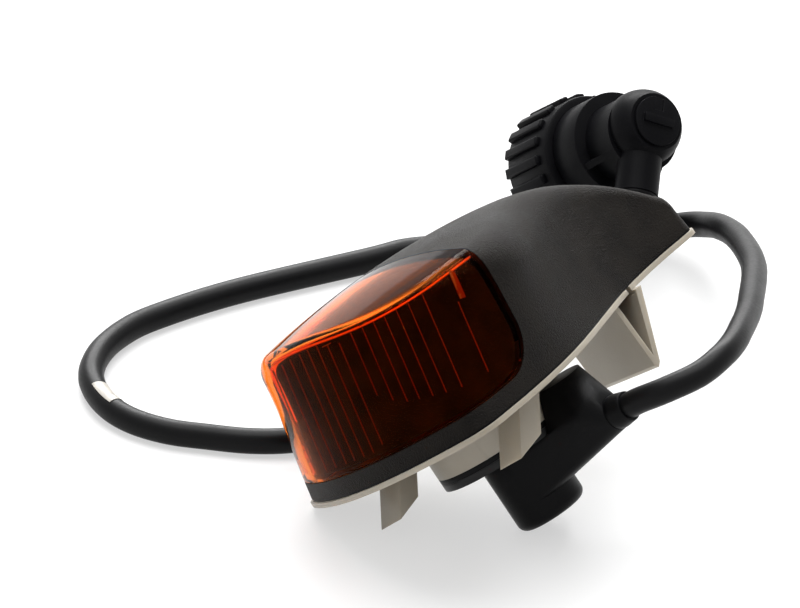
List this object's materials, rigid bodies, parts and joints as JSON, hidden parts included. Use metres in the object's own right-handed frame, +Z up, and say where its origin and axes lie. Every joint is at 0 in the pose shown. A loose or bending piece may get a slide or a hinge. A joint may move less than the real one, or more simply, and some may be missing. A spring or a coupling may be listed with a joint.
{
  "type": "vehicle indicator lamp",
  "caption": "Amber vehicle indicator lamp: pear-shaped housing with wrap-round lens, snap-in base plate, angled lead outlet, and a lead ending in a round bayonet connector.",
  "frame": {"origin": "Centre of the lamp's box, without the lead and its connector, on the table that it lies on. A panel lamp would normally keep its mounting frame: this one is stored lying down as pictured, because its lead lies on the table with it.", "axes": "+Z up from the table. +X along the lamp's longest extent, from the lens end to the tail. The panel face looks down and towards -Y."},
  "size_m": [0.1951, 0.1921, 0.083],
  "materials": {
    "housing_plastic": "fine grained",
    "amber_plastic": "clear amber, gloss",
    "pale_plastic": "milky, satin",
    "soft_black": "matte",
    "clear_glass": "clear",
    "bright_metal": "plated",
    "contact_brass": "plain",
    "black_plastic": "semi gloss",
    "sheath": "satin",
    "label": "printed film",
    "connector_plastic": "satin"
  },
  "bodies": {
    "lamp": {"housing": "housing_plastic", "lens": "amber_plastic", "base_plate": "pale_plastic", "base_seal": "soft_black", "bulb_glass": "clear_glass", "bulb_cap": "bright_metal", "centre_contact": "contact_brass", "side_contact": "contact_brass", "bulb_holder": "black_plastic", "holder_seal": "soft_black", "elbow": "black_plastic", "elbow_boot": "soft_black", "cable": "sheath", "cable_label": "label", "backshell": "connector_plastic", "backshell_cap": "connector_plastic", "cable_grommet": "soft_black", "plug_body": "connector_plastic", "contact_insert": "connector_plastic", "contact_pins": "contact_brass", "nose_seal": "soft_black", "ring_clip": "bright_metal"},
    "ring": {"coupling_ring": "connector_plastic"}
  },
  "joints": [
    {"name": "coupling_turn", "type": "hinge", "parent": "lamp", "child": "ring", "pos_m": [0.10797, 0.075, 0.01943], "axis": [0.1082, 0.7696, -0.6293], "range_deg": [0, 60]}
  ]
}
